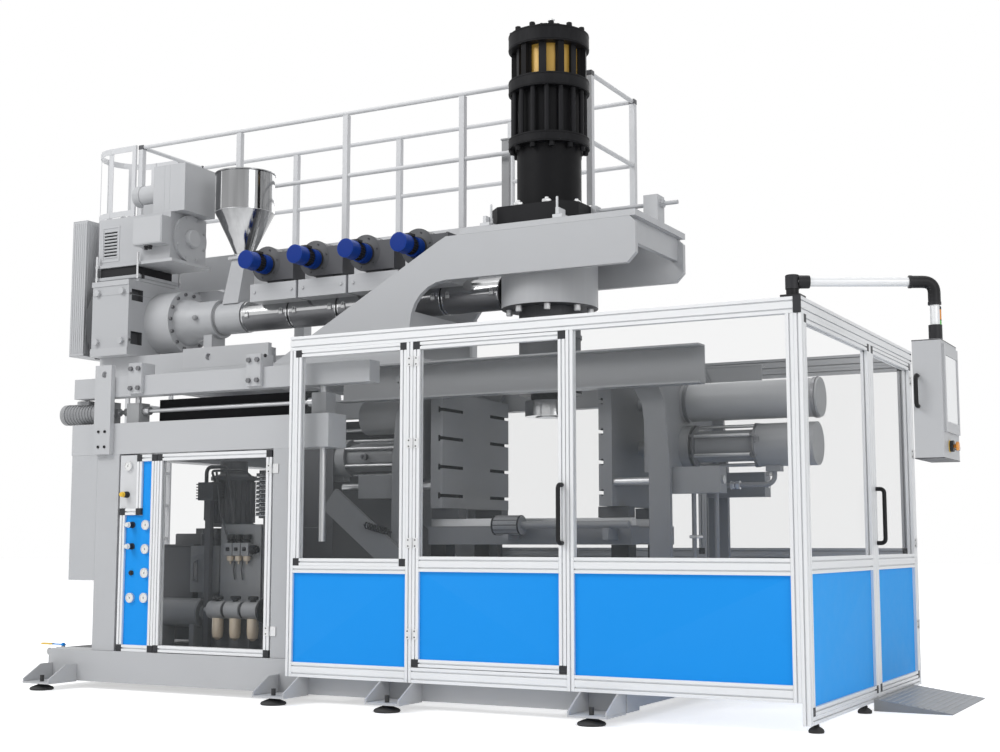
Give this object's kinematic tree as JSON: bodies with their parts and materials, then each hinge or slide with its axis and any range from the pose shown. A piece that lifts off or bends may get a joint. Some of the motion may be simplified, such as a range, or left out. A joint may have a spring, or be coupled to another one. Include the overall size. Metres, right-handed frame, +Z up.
{
  "type": "blow moulding machine",
  "caption": "Extrusion blow moulding machine: accumulator head and extruder on a lifting platform, a two-platen clamp in a glazed guard, walkway with ladder, operator panel",
  "frame": {"origin": "on the floor under the middle of the machine's bounding box", "axes": "+X along the machine towards the operator panel, +Y to the rear, +Z up"},
  "size_m": [7.58, 2.9596, 4.625],
  "materials": {
    "grey_paint": "satin light grey paint",
    "profile_aluminium": "satin anodised",
    "blue_sheet": "satin blue paint",
    "clear_sheet": "clear",
    "black_plastic": "moulded black",
    "orange_plastic": "glossy orange",
    "dark_screen": "dark display glass",
    "bare_steel": "machined steel",
    "polished_steel": "polished steel",
    "dark_iron": "dark painted iron",
    "ochre_rod": "ochre coated",
    "brass_fitting": "dull brass"
  },
  "bodies": {
    "machine": {"access_ramp": "grey_paint", "base_frame": "grey_paint", "clamp_bed": "grey_paint", "clamp_channels": "grey_paint", "clamp_cylinders": "grey_paint", "clamp_frame": "grey_paint", "column_frame": "grey_paint", "guard_fittings": "black_plastic", "guard_frame": "profile_aluminium", "guard_panels": "blue_sheet", "guard_windows": "clear_sheet", "hydraulic_pipes": "bare_steel", "inlet_valve": "brass_fitting", "levelling_feet": "dark_iron", "lift_drive": "dark_iron", "pneumatic_units": "grey_paint", "pressure_gauges": "bare_steel", "strip_frame": "profile_aluminium", "tanks": "dark_iron"},
    "platform": {"barrel": "polished_steel", "belt_guard": "grey_paint", "blowers": "grey_paint", "drive_motor": "grey_paint", "gantry": "grey_paint", "gearbox": "grey_paint", "head_body": "grey_paint", "head_cylinder": "dark_iron", "head_nuts": "bare_steel", "hopper": "bare_steel", "jack_screws": "bare_steel", "ladder": "grey_paint", "lifting_platform": "grey_paint", "walkway": "grey_paint"},
    "front_shaft": {"front_lift_shaft": "bare_steel"},
    "rear_shaft": {"rear_lift_shaft": "bare_steel"},
    "drive_pulley": {"motor_pulley": "dark_iron"},
    "driven_pulley": {"gearbox_pulley": "dark_iron"},
    "ram": {"accumulator_ram": "ochre_rod"},
    "pin": {"die_pin": "polished_steel"},
    "left_mould_platen": {"left_platen": "bare_steel"},
    "right_mould_platen": {"right_platen": "bare_steel"},
    "front_door": {"front_door_frame": "profile_aluminium", "front_door_panel": "blue_sheet", "front_door_window": "clear_sheet"},
    "end_door": {"end_door_frame": "profile_aluminium", "end_door_panel": "blue_sheet", "end_door_window": "clear_sheet"},
    "cabinet_door": {"cabinet_door_frame": "profile_aluminium", "cabinet_door_glass": "clear_sheet"},
    "arm": {"swing_arm": "profile_aluminium"},
    "panel": {"operator_panel": "grey_paint", "panel_fittings": "black_plastic", "panel_screen": "dark_screen"},
    "stop_button": {"emergency_stop": "orange_plastic"},
    "regulator_1": {"knob_1": "black_plastic"},
    "regulator_2": {"knob_2": "black_plastic"},
    "regulator_3": {"knob_3": "black_plastic"},
    "button": {"push_button": "black_plastic"},
    "lever": {"valve_lever": "blue_sheet"}
  },
  "joints": [
    {"name": "platform_lift", "type": "slide", "parent": "machine", "child": "platform", "axis": [0, 0, 1], "range_m": [0, 0.3]},
    {"name": "front_shaft_turn", "type": "hinge", "parent": "machine", "child": "front_shaft", "pos_m": [-1, -1.08, 1.9], "axis": [1, 0, 0], "range_deg": [0, 5400]},
    {"name": "rear_shaft_turn", "type": "hinge", "parent": "machine", "child": "rear_shaft", "pos_m": [-1, 1.08, 1.9], "axis": [1, 0, 0], "range_deg": [0, 5400]},
    {"name": "driven_pulley_turn", "type": "hinge", "parent": "platform", "child": "driven_pulley", "pos_m": [-3, 0, 2.71], "axis": [1, 0, 0], "continuous": true},
    {"name": "drive_pulley_turn", "type": "hinge", "parent": "platform", "child": "drive_pulley", "pos_m": [-3, -0.11, 3.345], "axis": [1, 0, 0], "continuous": true},
    {"name": "ram_stroke", "type": "slide", "parent": "platform", "child": "ram", "axis": [0, 0, -1], "range_m": [0, 0.25]},
    {"name": "die_gap", "type": "slide", "parent": "platform", "child": "pin", "axis": [0, 0, -1], "range_m": [0, 0.02]},
    {"name": "left_platen_slide", "type": "slide", "parent": "machine", "child": "left_mould_platen", "axis": [1, 0, 0], "range_m": [0, 0.35]},
    {"name": "right_platen_slide", "type": "slide", "parent": "machine", "child": "right_mould_platen", "axis": [-1, 0, 0], "range_m": [0, 0.35]},
    {"name": "front_door_swing", "type": "hinge", "parent": "machine", "child": "front_door", "pos_m": [0.682, -1.307, 1.2], "axis": [0, 0, -1], "range_deg": [0, 110]},
    {"name": "end_door_swing", "type": "hinge", "parent": "machine", "child": "end_door", "pos_m": [3.107, 1.253, 1.2], "axis": [0, 0, 1], "range_deg": [0, 110]},
    {"name": "cabinet_door_swing", "type": "hinge", "parent": "machine", "child": "cabinet_door", "pos_m": [-0.456, -1.192, 0.93], "axis": [0, 0, 1], "range_deg": [0, 110]},
    {"name": "arm_swing", "type": "hinge", "parent": "machine", "child": "arm", "pos_m": [3.04, -1.25, 2.3], "axis": [0, 0, 1], "range_deg": [-120, 30]},
    {"name": "panel_swivel", "type": "hinge", "parent": "arm", "child": "panel", "pos_m": [3.71104, -0.8932, 2.15], "axis": [0, 0, 1], "range_deg": [-90, 90]},
    {"name": "stop_press", "type": "slide", "parent": "panel", "child": "stop_button", "axis": [-1, 0, 0], "range_m": [0, 0.006], "stiffness_N_per_m": 800},
    {"name": "regulator_1_turn", "type": "hinge", "parent": "machine", "child": "regulator_1", "pos_m": [-1.69, -1.2, 1.32], "axis": [0, -1, 0], "range_deg": [-135, 135]},
    {"name": "regulator_2_turn", "type": "hinge", "parent": "machine", "child": "regulator_2", "pos_m": [-1.64, -1.2, 1.113], "axis": [0, -1, 0], "range_deg": [-135, 135]},
    {"name": "regulator_3_turn", "type": "hinge", "parent": "machine", "child": "regulator_3", "pos_m": [-1.64, -1.2, 0.967], "axis": [0, -1, 0], "range_deg": [-135, 135]},
    {"name": "button_press", "type": "slide", "parent": "machine", "child": "button", "axis": [0, 1, 0], "range_m": [0, 0.005], "stiffness_N_per_m": 600},
    {"name": "inlet_lever_turn", "type": "hinge", "parent": "machine", "child": "lever", "pos_m": [-2.56, -0.85, 0.25], "axis": [0, 0, 1], "range_deg": [0, 90]}
  ],
  "couplings": [
    {"joint": "front_shaft_turn", "follows": "platform_lift", "rad_per_m": 314.16},
    {"joint": "rear_shaft_turn", "follows": "platform_lift", "rad_per_m": 314.16},
    {"joint": "drive_pulley_turn", "follows": "driven_pulley_turn", "ratio": 1.7368},
    {"joint": "right_platen_slide", "follows": "left_platen_slide", "ratio": 1}
  ]
}
